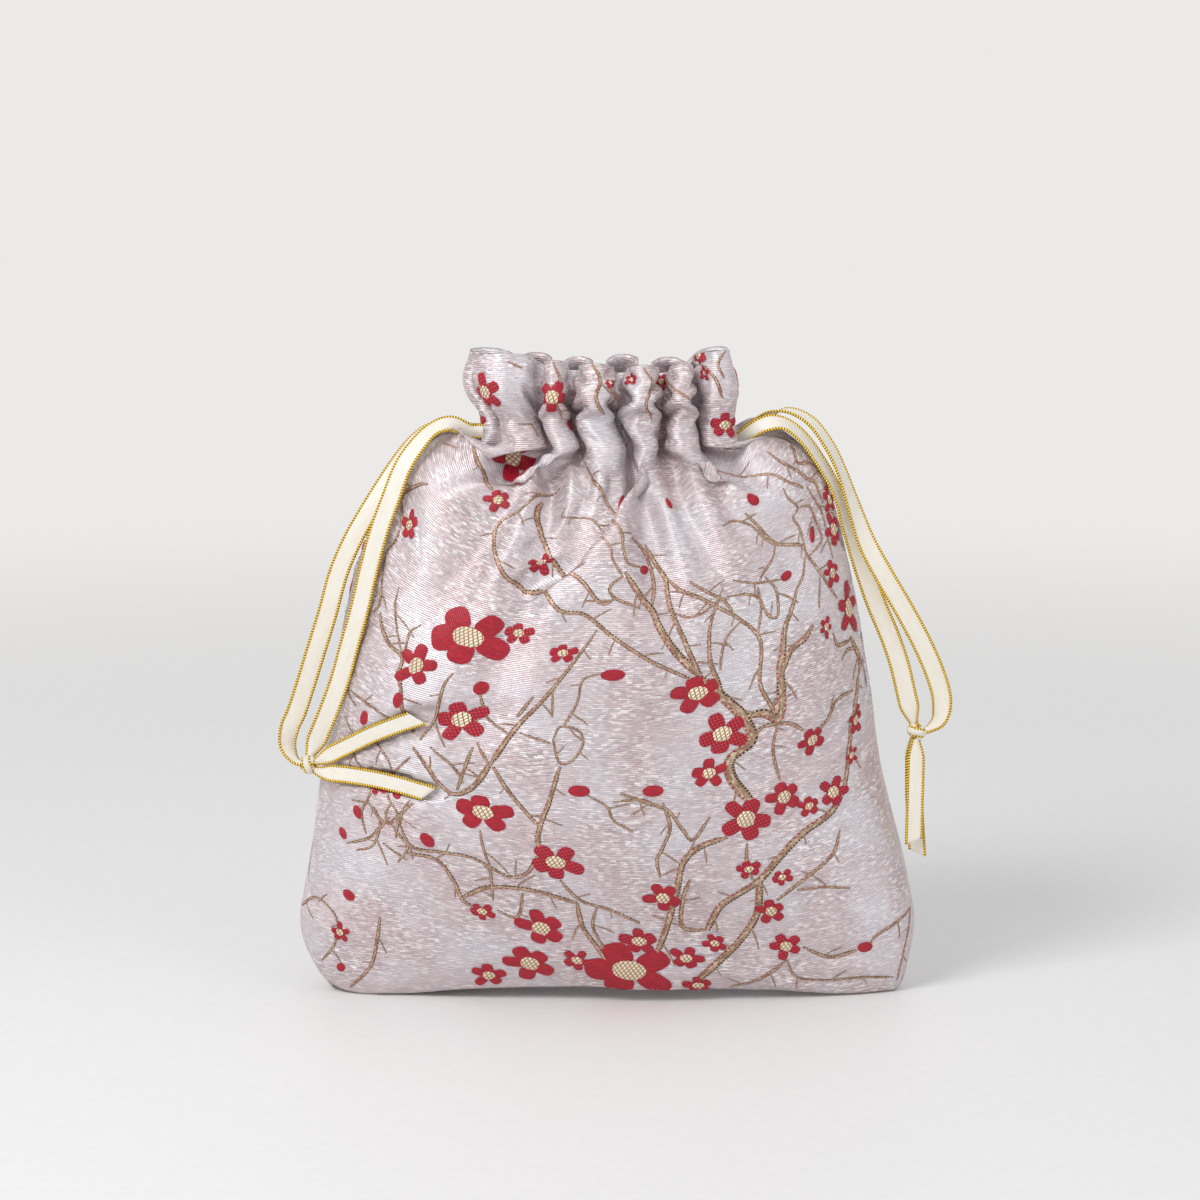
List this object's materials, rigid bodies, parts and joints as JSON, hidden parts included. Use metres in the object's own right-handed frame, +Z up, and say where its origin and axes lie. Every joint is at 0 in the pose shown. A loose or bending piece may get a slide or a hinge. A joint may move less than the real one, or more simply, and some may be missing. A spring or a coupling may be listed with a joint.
{
  "type": "drawstring gift bag",
  "caption": "Small free-standing brocade pouch, softly filled out, gathered at a frilled neck by satin ribbons that leave the casing at the side seams and are knotted at their ends.",
  "frame": {"origin": "middle of the flat base, on the surface the bag stands on", "axes": "+X along the front of the bag to its right, +Y from the front to the back, +Z up through the gathered neck"},
  "size_m": [0.2072, 0.068, 0.199],
  "materials": {
    "brocade": "silver lilac brocade with a metallic sheen and a woven crimson flower pattern",
    "satin": "cream satin ribbon with gold thread along both edges"
  },
  "bodies": {
    "root": {"brocade_bag": "brocade", "left_ribbon": "satin", "right_ribbon": "satin"}
  },
  "joints": []
}
